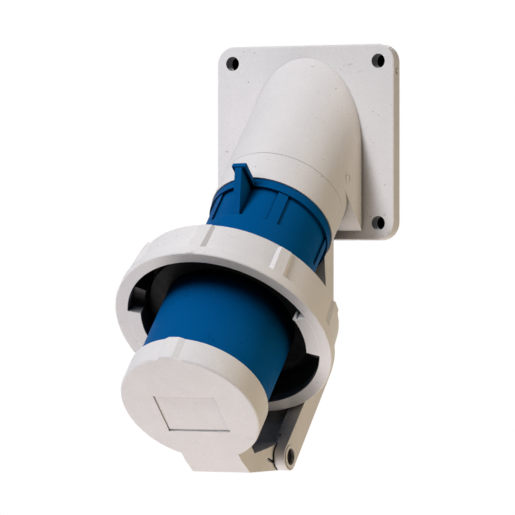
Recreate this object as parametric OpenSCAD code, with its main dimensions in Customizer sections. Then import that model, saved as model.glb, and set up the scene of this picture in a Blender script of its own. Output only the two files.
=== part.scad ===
// Angled panel inlet for a round pin-and-sleeve connector, with a bayonet ring and a sprung lid.
// Millimetres. The origin is the middle of the fixing holes on the flange's back face.
// +Z is up and -Y points away from the wall. The plug axis slopes down and away from the flange.
// Along that axis, lengths count from the flange's front face.

/* [Flange] */
// Width and height of the square flange
flange_w = 106.6; // [103:0.2:115]
// Thickness of the flange
flange_t = 7.5; // [6:0.5:10]
// Radius of the flange's corners
flange_corner_r = 10; // [4:0.5:12]
// Rounding along the flange's front edge
flange_edge_r = 1; // [0.6:0.2:3]
// Distance between neighbouring fixing holes
hole_spacing = 88; // [86:0.5:92]
// Diameter of the fixing holes
hole_d = 7.8; // [5:0.2:8.2]
// Height of the wiring opening in the flange's back
back_opening_h = 86; // [70:1:87]
// Width of the gasket's strip in the flange's back
gasket_w = 3.6; // [2:0.2:4.2]
// Thickness of the flange's gasket
gasket_t = 2.4; // [1.5:0.1:4]

/* [Hood] */
// Slope of the plug axis below the horizontal
tilt = 45; // [42:1:48]
// Height of the plug axis where it meets the flange's front face
axis_z = -2; // [-4:0.5:1]
// Outer diameter of the hood, its neck and the collar
hood_d = 68.4; // [66:0.2:72]
// Wall of the hood
hood_wall = 3.6; // [2.4:0.2:4]
// Length of the neck along the axis
neck_len = 40.3; // [38:0.1:46]
// Length of the wedge under the neck, along the axis
wedge_len = 32.5; // [30:0.5:34]
// Thickness of the inner flange at the neck's end
neck_flange_t = 7; // [5:0.5:8]

/* [Lid bracket] */
// Length of the collar along the axis
collar_len = 19; // [14:0.5:24]
// Outer width of the lid arm
arm_w = 51; // [46:0.5:56]
// Thickness of the arm's two side plates
arm_plate_t = 8; // [7:0.2:9]
// Thickness of the plates at the fork, beside the lid's knuckle
fork_t = 5.8; // [5:0.2:6.4]
// Thickness of the arm's web
arm_web_t = 4; // [2.5:0.5:5]
// Gap between the flange's front and the arm's upright back
arm_gap = 17.5; // [14:0.5:20]
// Depth of the arm's upright at the collar
upright_top_depth = 11.5; // [9:0.5:15]
// Depth of the arm's upright at its narrowest place
upright_waist_depth = 8.5; // [6:0.5:9]
// Rise of the arm's underside from the hinge to the outer bend
arm_taper = 2; // [0:0.2:2.4]
// Radius of the arm's outer bend
arm_bend_r = 12; // [4:1:20]
// Radius of the arm's inner bend
arm_inner_bend_r = 24; // [10:1:40]
// Distance from the hinge pin to the end of the arm's web
web_setback = 9.5; // [8.5:0.5:16]

/* [Inlet body] */
// Outer diameter of the threaded spigot behind the rim
spigot_d = 56; // [52:0.5:57]
// Wall of the spigot
spigot_wall = 3; // [2:0.5:4]
// Length of the spigot behind the hood's inner flange
spigot_tail = 9; // [7:0.5:12]
// Diameter of the rim in front of the collar
rim_d = 66.8; // [66:0.2:68]
// Width of the rim
rim_len = 5.5; // [3:0.5:8]
// Diameter of the body between rim and ring
body_d = 65.4; // [65:0.2:66]
// Depth of the recessed panels
panel_depth = 1.2; // [0.6:0.2:1.6]
// Length of the recessed panels
panel_len = 21; // [14:0.5:28]
// Number of ribs between the panels
panel_count = 5; // [3:1:9]
// Width of the ribs between the panels, in degrees
panel_rib_angle = 10; // [4:0.5:14]
// Bore of the body behind the insert
body_bore_d = 58.4; // [57:0.2:59]
// Width of the retaining tab
tab_w = 8; // [6:0.5:14]
// Height of the retaining tab above the rim
tab_h = 14.4; // [6:0.2:18]
// Thickness of the retaining tab
tab_t = 2.4; // [1.6:0.2:4]
// Angle of the tab and the panels from the top
tab_turn = 1.5; // [-6:0.5:6]
// Thickness of the fin that props the tab
fin_t = 4; // [2:0.5:6]

/* [Shroud] */
// Outer diameter of the pin shroud
shroud_d = 71.4; // [70.6:0.2:72.4]
// Wall of the pin shroud
shroud_wall = 3.3; // [2.4:0.1:4]
// Place of the shroud's mouth along the axis
mouth_at = 187.6; // [185:0.2:188.2]
// Rounding of the mouth's edge
mouth_edge = 1; // [0.4:0.2:1.4]
// Width of the guide key under the shroud
key_w = 9; // [6:0.5:12]
// Height of the guide key
key_h = 1.9; // [1:0.1:2.2]

/* [Bayonet ring] */
// Place of the ring's back along the axis
ring_at = 117; // [112:0.5:120]
// Length of the ring
ring_len = 25.6; // [24:0.1:29]
// Diameter of the ring's back
ring_back_d = 112.4; // [109.4:0.2:113]
// Diameter of the ring's front band
ring_front_d = 120; // [118.4:0.2:120.6]
// Width of the ring's front band
ring_band = 6.4; // [4:0.2:9]
// Inner diameter of the ring's cavity
ring_cavity_d = 106.4; // [102:0.2:107]
// Draft of the cavity's wall, from its front to its floor
ring_draft = 1.6; // [0.6:0.2:2.4]
// Inward slope of the ring's front, as its fall from the outer edge to the cavity
ring_bevel = 0.4; // [0.2:0.2:2]
// Thickness of the ring's back wall
ring_wall = 4; // [3:0.5:6]
// Diameter of the journal that the ring turns on
journal_d = 78; // [77.4:0.2:80]
// Number of grip ribs round the ring
grip_count = 8; // [6:1:12]
// Width of a grip rib's crest
grip_crest = 6; // [3:0.2:8]
// Width of a grip rib's foot
grip_foot = 15; // [13:0.2:18]
// Diameter over the grip ribs at the ring's back
grip_d = 115.4; // [114.8:0.2:118]
// Inner diameter at the bayonet lugs
lug_d = 92; // [91:0.5:98]
// Length of a bayonet lug, in degrees
lug_angle = 31; // [24:1:40]
// Length of the lead-in ramp on each lug, in degrees
ramp_angle = 19; // [8:1:22]
// Thickness of the bayonet lugs
lug_t = 8; // [5:0.5:10]
// Drop of the ramp on each lug
lug_ramp = 3.2; // [1:0.2:4]
// Length of the stop block behind each lug, in degrees
stop_angle = 17; // [10:1:24]
// Angle at which the ring stands turned
ring_turn = -2.5; // [-20:0.5:20]

/* [Contacts] */
// Diameter of the circle through the contact pins
pin_circle_d = 38; // [37:0.5:39]
// Diameter of the line and neutral pins
pin_d = 8; // [6:0.5:9]
// Diameter of the earth pin
earth_d = 10; // [8:0.5:11]
// Diameter of the pilot pin
pilot_d = 6; // [4:0.5:7]
// Distance from the shroud's mouth back to the pins' tips
pin_setback = 6; // [3:0.5:12]
// Extra setback of the pilot pin's tip
pilot_setback = 14; // [8:0.5:24]
// Thickness of the insert
carrier_t = 12; // [10:0.5:16]
// Thickness of the insert's cover
cover_t = 4; // [3:0.5:6]
// Diameter of the terminal barrels of line and neutral
barrel_d = 13; // [12:0.5:14]
// Length of the terminal barrels behind the cover
barrel_len = 24; // [20:1:28]

/* [Lid] */
// Outer diameter of the lid
lid_d = 76.2; // [75.8:0.1:78]
// Place of the lid's front face along the axis
lid_front_at = 197.4; // [196:0.2:199]
// Length of the lid's skirt
lid_len = 14.6; // [12.6:0.2:15.6]
// Thickness of the lid's front wall
lid_wall = 3; // [2:0.2:4]
// Wall of the lid's skirt
skirt_wall = 1.2; // [0.9:0.1:1.4]
// Width of the lid's raised pad across its top
pad_w = 5.8; // [4:0.2:12]
// Height of the lid's raised pad
pad_h = 1.2; // [0.6:0.1:2]
// Width of the bare label place
label_w = 35.7; // [20:0.5:44]
// Height of the bare label place
label_h = 26.4; // [14:0.2:34]
// Depth of the bare label place
label_depth = 0.8; // [0.3:0.1:1.2]
// Distance of the label place's middle below the axis
label_drop = 3.2; // [0:0.2:6]
// Backward lean of the tongue's front, measured at its lower edge
tongue_lean = 2.4; // [0:0.2:4]
// Width of the tongue at the lid's front
tongue_front_w = 33; // [26:0.5:37]
// Thickness of the seal in the lid
lid_seal_t = 3; // [2:0.2:4]

/* [Hinge] */
// Place of the hinge pin along the axis
hinge_at = 168.3; // [166:0.1:170]
// Distance of the hinge pin below the axis
hinge_drop = 66.5; // [66:0.1:69]
// Diameter of the knuckle and of the fork's ends
knuckle_d = 14.6; // [14:0.2:15]
// Open gap between each end of the knuckle and the fork
knuckle_gap = 1.2; // [0.6:0.1:1.8]
// Diameter of the hinge pin
hinge_pin_d = 5; // [4:0.2:6]
// Diameter of the hinge pin's head
hinge_head_d = 8.8; // [8:0.2:9.6]
// Depth of the head's seat in the fork
head_seat = 3; // [2.2:0.2:3.4]
// Diameter of the spring's wire
spring_wire_d = 1.1; // [0.8:0.1:1.3]
// Turns of the spring
spring_turns = 3; // [2:1:3]

/* [Seals and fits] */
// Thickness of the O-rings
o_ring_d = 2; // [1.6:0.1:2.2]
// Length of the coupling seal
coupling_seal_t = 5; // [3:0.5:8]
// Outer diameter of the coupling seal
coupling_seal_d = 89.4; // [84:0.2:90]
// Thickness of the ring's retainer
retainer_t = 2; // [1.4:0.2:3]
// Running gap round moving pieces
run_gap = 0.3; // [0.2:0.05:0.5]
// Gap between pieces that fit together and stay put
seat_gap = 0.1; // [0.05:0.05:0.2]
// Radial clearance of the hinge pin in the knuckle
pin_fit = 0.06; // [0.02:0.01:0.1]

/* [Hidden] */
$fn = 72;

// Colours as the object shows them
grey = [0.86, 0.84, 0.83];
blue = [0.0, 0.31, 0.56];
rubber = [0.03, 0.03, 0.03];
brass = [0.80, 0.66, 0.34];
steel = [0.70, 0.71, 0.72];
dark_insert = [0.16, 0.17, 0.18];

// A small overlap that joins solids and clears cuts, and a length past the whole object
bite = 0.5;
far = 300;

// Places along the plug axis
neck_back = neck_len - neck_flange_t;
collar_end = neck_len + collar_len;
rim_end = collar_end + rim_len;
panel_end = rim_end + panel_len;
spigot_start = neck_back - spigot_tail;
shoulder_at = ring_at - run_gap;
flare_len = 11;
shoulder_len = 4.5;
flare_end = shoulder_at - shoulder_len;
flare_start = flare_end - flare_len;
ring_front = ring_at + ring_len;
ring_floor = ring_at + ring_wall;
retainer_at = ring_floor + run_gap;
lip_at = retainer_at + retainer_t + seat_gap;
lip_len = 1.6;
cavity_edge = ring_front - ring_bevel;
lug_setback = 0.3;
lug_front = cavity_edge - lug_setback;
band_back = ring_front - ring_band;
seal_at = lip_at + lip_len + seat_gap;
carrier_seat = flare_end;
carrier_at = carrier_seat + cover_t;
carrier_front = carrier_at + carrier_t;
pin_tip = mouth_at - pin_setback;
lid_back = lid_front_at - lid_len;
lid_floor = lid_front_at - lid_wall;
lid_land = mouth_at + run_gap + lid_seal_t;

// Radii
hood_r = hood_d / 2;
cavity_r = hood_r - hood_wall;
spigot_r = spigot_d / 2;
rim_r = rim_d / 2;
body_r = body_d / 2;
panel_r = body_r - panel_depth;
rib_sunk = 0.1;
panel_rib_r = body_r - rib_sunk;
bore_r = body_bore_d / 2;
shroud_r = shroud_d / 2;
shroud_bore_r = shroud_r - shroud_wall;
journal_r = journal_d / 2;
shoulder_step = 4;
shoulder_r = journal_r + shoulder_step;
lip_drop = 0.9;
lip_r = journal_r - lip_drop;
groove_depth = 1.2;
groove_r = lip_r - groove_depth;
retainer_step = 4.4;
retainer_r = journal_r + retainer_step;
retainer_slit = 3;
cavity_ring_r = ring_cavity_d / 2;
lug_r = lug_d / 2;
lid_r = lid_d / 2;
skirt_bore_r = lid_r - skirt_wall;
seat_ledge = 2;
lid_pocket_r = shroud_bore_r - seat_ledge;
knuckle_r = knuckle_d / 2;
edge = 1;

// Seals and pegs in the joint faces of the neck and the rim
peg_r = 1.1;
peg_len = 3;
peg_wall = 0.6;
peg_at = spigot_r + peg_wall + peg_r;
skin = 0.7;
seam_edge = 0.35;
seam_lap = 0.05;
neck_seal_r = hood_r - skin - o_ring_d / 2;
rim_seal_r = (spigot_r + rim_r) / 2;
gasket_side = 2;
gasket_end = 1.5;
opening_low = max(back_opening_h / 2, cavity_r / cos(tilt) - axis_z);

// The ring nut
nut_t = 6;
nut_gap = 0.6;
nut_notches = 8;
notch_w = 4;
notch_depth = 1.2;

// The arm's side plates and the lid's knuckle, across the object
plate_out = arm_w / 2;
plate_in = plate_out - arm_plate_t;
fork_in = plate_out - fork_t;
fork_lead = 0.5;
knuckle_half = fork_in - knuckle_gap;
thrust_wall = 1.8;
arm_low = -(hinge_drop + knuckle_r);
arm_high = -(hinge_drop - knuckle_r);

// The lid's front edge, its tongue and the room round the shroud's key
lid_edge_r = 1.4;
pad_slope = 27;
tongue_root = 8;
tongue_step = 2.6;
tongue_back_drop = 7.6;
knuckle_blend = 2;
key_gap = 0.7;

// The hinge pin's ends and the spring, whose coil lies in a pocket of the knuckle
head_t = 1;
clip_t = 1;
clip_lead = 0.6;
pin_end = plate_out - head_seat + clip_t + clip_lead;
coil_gap = 0.8;
coil_r = hinge_pin_d / 2 + spring_wire_d + coil_gap;
turn_gap = 0.08;
coil_pitch = (1 + turn_gap) * spring_wire_d;
pocket_r = coil_r + spring_wire_d;
slot_x = knuckle_half - spring_wire_d;
coil_x = slot_x - spring_turns * coil_pitch;
pocket_from = coil_x - spring_wire_d;
leg_gap = 0.35;
leg_ahead = 9;
leg_rise = 7.4;
leg_end = [hinge_at + leg_ahead, -hinge_drop + leg_rise];
slot_angle = -45;
rest_at = [hinge_at - web_setback, arm_low + arm_web_t + spring_wire_d / 2 + seat_gap];
rest_reach = norm(rest_at - [hinge_at, -hinge_drop]);
rest_dip = asin(coil_r / rest_reach) - atan2(-hinge_drop - rest_at[1], web_setback);
rest_leg_len = 8;

// The ring's band and ribs, and the small shapes at its lugs
front_edge = 0.5;
band_step = 2.2;
rib_inset = 0.15;
stop_inset = 0.3;
rib_edge = 0.7;
nose_r = 1.2;
stop_lap = 4;

// The tab stands a little proud of the rim; its fin's top lies below the tab's top, its toe sunk
tab_proud = 0.3;
fin_lip = 0.6;
fin_lead = 1.2;
toe_sunk = 0.6;

// Contact places across the axis: earth below, line and neutral above it on each side
pin_r = pin_circle_d / 2;
line_angle = 150;
neutral_angle = 30;
earth_angle = -90;
pilot_angle = 90;
line_at = pin_r * [cos(line_angle), sin(line_angle)];
neutral_at = pin_r * [cos(neutral_angle), sin(neutral_angle)];
earth_at = pin_r * [cos(earth_angle), sin(earth_angle)];
collar_step = 1.6;
collar_t = 2.5;
barrel_step = 1.2;
earth_barrel_d = barrel_d + barrel_step;
pilot_barrel_d = 9.6;
barrel_wall = 2.2;
barrel_floor = 2.5;
nose_share = 0.2;
collar_boss_wall = 2.5;
collar_boss_h = 1.5;

// Screws of the insert and of the terminals
boss_r = 4;
boss_len = 14;
carrier_screw_x = bore_r - boss_r + skin;
carrier_screw_d = 3.2;
carrier_screw_len = 10;
screw_floor = 2;
screw_head_r = 2.8;
screw_head_t = 2.4;
slot_w = 0.8;
slot_depth = 1;
terminal_screw_d = 5;
terminal_pitch = 9;
terminal_first = 5.5;
grub_len = 3;
grub_sunk = 2;

// Carries children to the plug axis: local z runs along it and local y is up across it
module on_axis() {
  translate([0, -flange_t, axis_z]) rotate([90 + tilt, 0, 0]) children();
}

// Extrudes a side view, drawn as place along the axis and height across it, from x0 to x1
module side_view(x0, x1) {
  rotate([0, -90, 0]) translate([0, 0, -x1]) linear_extrude(x1 - x0) children();
}

// A side view point from its distance before the flange and its height from the axis's foot
function side_point(out, height) = [out * cos(tilt) - height * sin(tilt),
  out * sin(tilt) + height * cos(tilt)];

module tube(r_out, r_in, from, to) {
  translate([0, 0, from]) difference() {
    cylinder(r = r_out, h = to - from);
    translate([0, 0, -bite]) cylinder(r = r_in, h = to - from + 2 * bite);
  }
}

// A ring sector of rectangular section, centred on an angle
module sector(r_in, r_out, from, to, middle, angle) {
  rotate([0, 0, middle - angle / 2]) rotate_extrude(angle = angle)
    translate([r_in, from]) square([r_out - r_in, to - from]);
}

// A cylinder along the hinge's line
module across(from, to, d) {
  translate([from, -hinge_drop, hinge_at]) rotate([0, 90, 0]) cylinder(d = d, h = to - from);
}

module rounded_rectangle(w, h, r) {
  square([w - 2 * r, h], center = true);
  square([w, h - 2 * r], center = true);
  for (x = [-1, 1], y = [-1, 1]) translate([x * (w / 2 - r), y * (h / 2 - r)]) circle(r);
}

module o_ring(middle_r, at) {
  translate([0, 0, at]) rotate_extrude() translate([middle_r, 0]) circle(d = o_ring_d - seat_gap);
}

// Flange and hood

module flange_edge_profile() {
  square([flange_corner_r - flange_edge_r, flange_t]);
  square([flange_corner_r, flange_t - flange_edge_r]);
  translate([flange_corner_r - flange_edge_r, flange_t - flange_edge_r]) circle(flange_edge_r);
}

// The flange lies with its back on z = 0 here, and its front edge is rounded
module flange_plate() {
  inner = flange_w / 2 - flange_corner_r;
  translate([-inner, -inner, 0]) cube([2 * inner, 2 * inner, flange_t]);
  for (x = [-1, 1], y = [-1, 1]) translate([x * inner, y * inner, 0])
    rotate_extrude() intersection() {
      flange_edge_profile();
      square([flange_corner_r, flange_t]);
    }
  for (turn = [0 : 90 : 270]) rotate([0, 0, turn]) translate([inner, 0, 0]) rotate([90, 0, 0])
    linear_extrude(2 * inner, center = true) flange_edge_profile();
}

// A round neck with a square-sided wedge under it, for the hood's outside and its cavity
module elbow(r, round_end, wedge_end) {
  translate([0, 0, -far]) cylinder(r = r, h = far + round_end);
  translate([-r, -far, -far]) cube([2 * r, far, far + wedge_end]);
}

module neck_pegs(r, length) {
  for (x = [-1, 1]) translate([x * peg_at, 0, neck_len - length]) cylinder(r = r, h = length + bite);
}

// Small bevels round the neck's end and the collar's, which show as the seam between them
module seam_groove() {
  out = seam_edge + seam_lap;
  translate([0, 0, neck_len]) rotate_extrude()
    polygon([[hood_r - seam_edge, 0], [hood_r + seam_lap, -out], [hood_r + seam_lap, out]]);
}

module flange_hood() {
  slab = far - flange_t;
  color(grey) difference() {
    union() {
      rotate([90, 0, 0]) flange_plate();
      intersection() {
        on_axis() elbow(hood_r, neck_len, wedge_len);
        translate([-far / 2, -far, -far / 2]) cube([far, slab + bite, far]);
      }
    }
    intersection() {
      on_axis() elbow(cavity_r, neck_back, wedge_len - hood_wall);
      union() {
        translate([-far / 2, -far, -far / 2]) cube([far, slab, far]);
        translate([-far / 2, -far + bite, -opening_low])
          cube([far, far, opening_low + back_opening_h / 2]);
      }
    }
    on_axis() {
      cylinder(r = spigot_r + seat_gap, h = far);
      tube(neck_seal_r + o_ring_d / 2, neck_seal_r - o_ring_d / 2, neck_len - o_ring_d, far);
      neck_pegs(peg_r + seat_gap, peg_len + seat_gap);
      seam_groove();
    }
    for (x = [-1, 1], z = [-1, 1]) translate([x * hole_spacing / 2, bite, z * hole_spacing / 2])
      rotate([90, 0, 0]) cylinder(d = hole_d, h = flange_t + 2 * bite);
    gasket_strip(gasket_t, bite, 0);
  }
}

// The gasket's strip lies round the wiring opening, level with the flange's back
module gasket_strip(depth, proud, inset) {
  gasket_x = 2 * (cavity_r + gasket_side);
  gasket_z = 2 * (opening_low + gasket_end);
  translate([0, proud, 0]) rotate([90, 0, 0]) linear_extrude(depth + proud) difference() {
    rounded_rectangle(gasket_x + 2 * gasket_w - inset, gasket_z + 2 * gasket_w - inset, gasket_w);
    rounded_rectangle(gasket_x + inset, gasket_z + inset, gasket_w / 2);
  }
}

module flange_gasket() {
  color(rubber) gasket_strip(gasket_t, 0, 2 * seat_gap);
}

// Lid bracket: the collar and the channel arm that carries the lid's hinge

bend_low = arm_low + arm_taper;
arm_corner = side_point(arm_gap, (bend_low - arm_gap * sin(tilt)) / cos(tilt));
plate_top = -sqrt(pow(hood_r, 2) - pow(plate_out, 2)) + bite;
upright_top = (plate_top - arm_gap * sin(tilt)) / cos(tilt);
waist_out = arm_gap + upright_waist_depth;
inner_corner = side_point(waist_out, (arm_high - waist_out * sin(tilt)) / cos(tilt));
waist_drop = 26;
hinge_boss_wall = 1.8;
hinge_boss_h = 0.4;

// The spare area outside a bend of radius r, in a corner whose sides run straight up and along
module bend_spare(corner, r, along) {
  upward = [-sin(tilt), cos(tilt)];
  half = acos(upward * along) / 2;
  reach = r / tan(half);
  middle = corner + (upward + along) / norm(upward + along) * r / sin(half);
  difference() {
    polygon([corner, corner + upward * reach, corner + along * reach]);
    translate(middle) circle(r);
  }
}

module arm_outline() {
  front_top = [side_point(arm_gap + upright_top_depth, 0)[0] - (plate_top
    - side_point(arm_gap + upright_top_depth, 0)[1]) * tan(tilt), plate_top];
  waist = side_point(waist_out, upright_top - upright_top_depth - waist_drop);
  underside = [hinge_at, arm_low] - arm_corner;
  difference() {
    union() {
      polygon([side_point(arm_gap, upright_top), arm_corner, [hinge_at, arm_low],
        [hinge_at, arm_high], inner_corner, waist, front_top]);
      translate([hinge_at, -hinge_drop]) circle(knuckle_r);
      bend_spare(inner_corner, arm_inner_bend_r, [1, 0]);
    }
    bend_spare(arm_corner, arm_bend_r, underside / norm(underside));
  }
}

// The channel's hollow, in front of the web and short of the hinge
module arm_hollow() {
  web_corner = side_point(arm_gap + arm_web_t, (bend_low + arm_web_t
    - (arm_gap + arm_web_t) * sin(tilt)) / cos(tilt));
  web_end = hinge_at - web_setback;
  polygon([side_point(arm_gap + arm_web_t, upright_top + far), web_corner,
    [web_end, arm_low + arm_web_t], [web_end, arm_low - far], [far, arm_low - far], [far, 0]]);
}

// Bosses inside the fork keep the knuckle in the middle
module thrust_bosses() {
  thrust_d = hinge_pin_d + 2 * thrust_wall;
  across(knuckle_half + run_gap, fork_in + bite, thrust_d);
  across(-fork_in - bite, -knuckle_half - run_gap, thrust_d);
}

module lid_bracket() {
  color(grey) on_axis() difference() {
    union() {
      tube(hood_r, spigot_r + seat_gap, neck_len, collar_end);
      neck_pegs(peg_r, peg_len);
      difference() {
        side_view(-plate_out, plate_out) arm_outline();
        side_view(-plate_in, plate_in) arm_hollow();
        side_view(-fork_in, fork_in) translate([hinge_at - web_setback - fork_lead, arm_low - far])
          square(2 * far);
        cylinder(r = spigot_r + seat_gap, h = far);
        translate([0, 0, collar_end]) cylinder(r = rim_r + run_gap, h = far);
      }
      for (x = [-1, 1]) translate([x * plate_out, -hinge_drop, hinge_at]) rotate([0, 90, 0])
        cylinder(d = hinge_head_d + 2 * hinge_boss_wall, h = 2 * hinge_boss_h, center = true);
      thrust_bosses();
    }
    seam_groove();
    across(-plate_out - bite, plate_out + bite, hinge_pin_d + 2 * seat_gap);
    for (x = [-1, 1]) translate([x * plate_out, -hinge_drop, hinge_at]) rotate([0, x * 90, 0])
      translate([0, 0, -head_seat])
        cylinder(d = hinge_head_d + 2 * seat_gap, h = head_seat + hinge_boss_h + bite);
  }
}

// Seals and nut at the neck

module neck_seal() {
  color(rubber) on_axis() o_ring(neck_seal_r, neck_len - o_ring_d / 2);
}

module rim_seal() {
  color(rubber) on_axis() o_ring(rim_seal_r, collar_end + o_ring_d / 2);
}

module lock_nut() {
  nut_r = cavity_r - nut_gap;
  color(grey) on_axis() difference() {
    tube(nut_r, spigot_r + seat_gap, neck_back - nut_t, neck_back);
    for (i = [0 : nut_notches - 1]) rotate([0, 0, i * 360 / nut_notches])
      translate([nut_r - notch_depth, -notch_w / 2, neck_back - nut_t - bite])
        cube([notch_depth + bite, notch_w, nut_t / 2]);
  }
}

// Inlet body: spigot, rim, ribbed body, journal and pin shroud in one moulding

module body_section() {
  throat_r = spigot_r - spigot_wall;
  polygon([[throat_r, spigot_start], [spigot_r, spigot_start], [spigot_r, collar_end],
    [rim_r, collar_end], [rim_r, rim_end], [panel_r, rim_end], [panel_r, panel_end],
    [body_r, panel_end], [body_r, flare_start],
    [shoulder_r, flare_end], [shoulder_r, shoulder_at], [journal_r, shoulder_at],
    [journal_r, retainer_at - run_gap / 2], [groove_r, retainer_at - run_gap / 2],
    [groove_r, lip_at], [lip_r, lip_at], [lip_r, lip_at + lip_len], [shroud_r, lip_at + lip_len],
    [shroud_r, mouth_at - mouth_edge], [shroud_r - mouth_edge, mouth_at],
    [shroud_bore_r, mouth_at], [shroud_bore_r, carrier_seat], [bore_r, carrier_seat],
    [bore_r, rim_end], [throat_r, rim_end - bore_r + throat_r]]);
}

// Ribs divide the sunk band in front of the rim into panels
module panel_ribs() {
  step = 360 / panel_count;
  for (i = [0 : panel_count - 1])
    sector(panel_r - bite, panel_rib_r, rim_end - bite, panel_end + bite,
      90 + tab_turn + (i + 0.5) * step, panel_rib_angle);
}

// A plate that stands on the rim, propped by a fin that runs down to the panel's end
module retaining_tab() {
  root = panel_r - bite;
  top = rim_r + tab_h;
  fin_top = top - fin_lip;
  tab_front = rim_end + tab_proud;
  tab_back = tab_front - tab_t;
  fin_end = panel_end + bite;
  rotate([0, 0, tab_turn]) {
    translate([-tab_w / 2, root, tab_back]) cube([tab_w, top - root, tab_t]);
    side_view(-fin_t / 2, fin_t / 2) polygon([[tab_back + bite, root], [tab_back + bite, fin_top],
      [rim_end + fin_lead, fin_top], [fin_end, body_r - toe_sunk], [fin_end, root]]);
  }
}

module guide_key() {
  key_from = seal_at + coupling_seal_t + seat_gap;
  translate([-key_w / 2, -shroud_r - key_h, key_from])
    cube([key_w, key_h + shroud_wall / 2, mouth_at - 2 * mouth_edge - key_from]);
}

// Bosses inside the bore take the insert's screws
module carrier_bosses() {
  for (x = [-1, 1]) translate([x * carrier_screw_x, 0, carrier_seat - boss_len])
    cylinder(r = boss_r, h = boss_len);
}

module inlet_body() {
  color(blue) on_axis() difference() {
    union() {
      difference() {
        rotate_extrude() body_section();
        tube(rim_seal_r + o_ring_d / 2, rim_seal_r - o_ring_d / 2, collar_end - bite,
          collar_end + o_ring_d);
      }
      panel_ribs();
      retaining_tab();
      guide_key();
      carrier_bosses();
    }
    for (x = [-1, 1]) translate([x * carrier_screw_x, 0, carrier_seat - boss_len + screw_floor])
      cylinder(d = carrier_screw_d + 2 * seat_gap, h = boss_len);
  }
}

// Bayonet ring and what keeps it

module ring_section() {
  back_r = ring_back_d / 2;
  front_r = ring_front_d / 2;
  polygon([[journal_r + run_gap, ring_at], [back_r - edge, ring_at], [back_r, ring_at + edge],
    [front_r - band_step, band_back], [front_r, band_back + edge], [front_r, ring_front - front_edge],
    [front_r - front_edge, ring_front], [cavity_ring_r, cavity_edge],
    [cavity_ring_r - ring_draft, ring_floor], [journal_r + run_gap, ring_floor]]);
}

// A grip rib with sloping sides, which runs along the ring and into its front band
module grip_rib() {
  crest_r = grip_d / 2;
  rib_from = ring_at + 2 * edge;
  rib_to = band_back + 2 * edge;
  rise = ring_front_d / 2 - crest_r - rib_inset;
  lean = atan2(rise, rib_to - rib_from);
  depth = crest_r - cavity_ring_r;
  translate([0, crest_r, rib_from]) rotate([-lean, 0, 0])
    linear_extrude((rib_to - rib_from) / cos(lean))
      polygon([[-grip_foot / 2, -depth], [-grip_crest / 2 - rib_edge, -rib_edge],
        [-grip_crest / 2, 0], [grip_crest / 2, 0], [grip_crest / 2 + rib_edge, -rib_edge],
        [grip_foot / 2, -depth]]);
}

// One lug: level at its lower end, then a lead-in ramp that ends in a small round nose
module bayonet_lug() {
  fall = atan2(lug_ramp, lug_r * sin(ramp_angle));
  ramp_low = lug_front - lug_ramp;
  lug_back = lug_front - lug_t;
  difference() {
    sector(lug_r, cavity_ring_r + bite, lug_back, lug_front, 0, lug_angle);
    rotate([0, 0, lug_angle / 2 - ramp_angle]) translate([0, 0, lug_front]) rotate([-fall, 0, 0])
      cube(far);
  }
  rotate([0, 0, lug_angle / 2]) translate([lug_r + nose_r / 2, 0, lug_back])
    cylinder(r = nose_r, h = ramp_low - lug_back + nose_r);
}

// The block behind a lug's lower end, which stops the other half's peg
module lug_stop() {
  sector(lug_r + stop_inset, cavity_ring_r + bite, ring_floor - bite, lug_front - lug_t + bite,
    -lug_angle / 2 - stop_angle / 2 + stop_lap, stop_angle);
}

module bayonet_ring() {
  color(grey) on_axis() rotate([0, 0, ring_turn]) {
    rotate_extrude() ring_section();
    for (i = [0 : grip_count - 1]) rotate([0, 0, i * 360 / grip_count]) grip_rib();
    for (turn = [0, 180]) rotate([0, 0, turn]) {
      bayonet_lug();
      lug_stop();
    }
  }
}

module ring_retainer() {
  color(dark_insert) on_axis() difference() {
    tube(retainer_r, groove_r + seat_gap, retainer_at, retainer_at + retainer_t);
    translate([-retainer_slit / 2, 0, retainer_at - bite])
      cube([retainer_slit, far, retainer_t + 2 * bite]);
  }
}

module coupling_seal() {
  color(rubber) on_axis()
    tube(coupling_seal_d / 2, shroud_r + seat_gap, seal_at, seal_at + coupling_seal_t);
}

// Insert and contacts

module carrier_disc(from, to) {
  difference() {
    translate([0, 0, from]) cylinder(r = shroud_bore_r - seat_gap, h = to - from);
    for (x = [-1, 1]) translate([x * carrier_screw_x, 0, from - bite])
      cylinder(d = carrier_screw_d + 2 * seat_gap, h = to - from + 2 * bite);
  }
}

module at_each_pin() {
  translate(line_at) children(0);
  translate(neutral_at) children(0);
  translate(earth_at) children(1);
  children(2);
}

module carrier_hole(d, barrel) {
  translate([0, 0, carrier_at - bite]) cylinder(d = d + 2 * seat_gap, h = far);
  translate([0, 0, carrier_at - bite])
    cylinder(d = barrel + 2 * (collar_step + seat_gap), h = collar_t + bite);
}

module pin_collar_boss(d) {
  translate([0, 0, carrier_front - bite])
    cylinder(d = d + 2 * collar_boss_wall, h = collar_boss_h + bite);
}

module contact_carrier() {
  color(dark_insert) on_axis() difference() {
    union() {
      carrier_disc(carrier_at, carrier_front);
      at_each_pin() {
        pin_collar_boss(pin_d);
        pin_collar_boss(earth_d);
        pin_collar_boss(pilot_d);
      }
    }
    at_each_pin() {
      carrier_hole(pin_d, barrel_d);
      carrier_hole(earth_d, earth_barrel_d);
      carrier_hole(pilot_d, pilot_barrel_d);
    }
    for (x = [-1, 1]) translate([x * carrier_screw_x, 0, carrier_front - screw_head_t])
      cylinder(r = screw_head_r + seat_gap, h = far);
  }
}

module barrel_hole(barrel) {
  translate([0, 0, carrier_seat - bite])
    cylinder(d = barrel + 2 * seat_gap, h = cover_t + 2 * bite);
}

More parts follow.
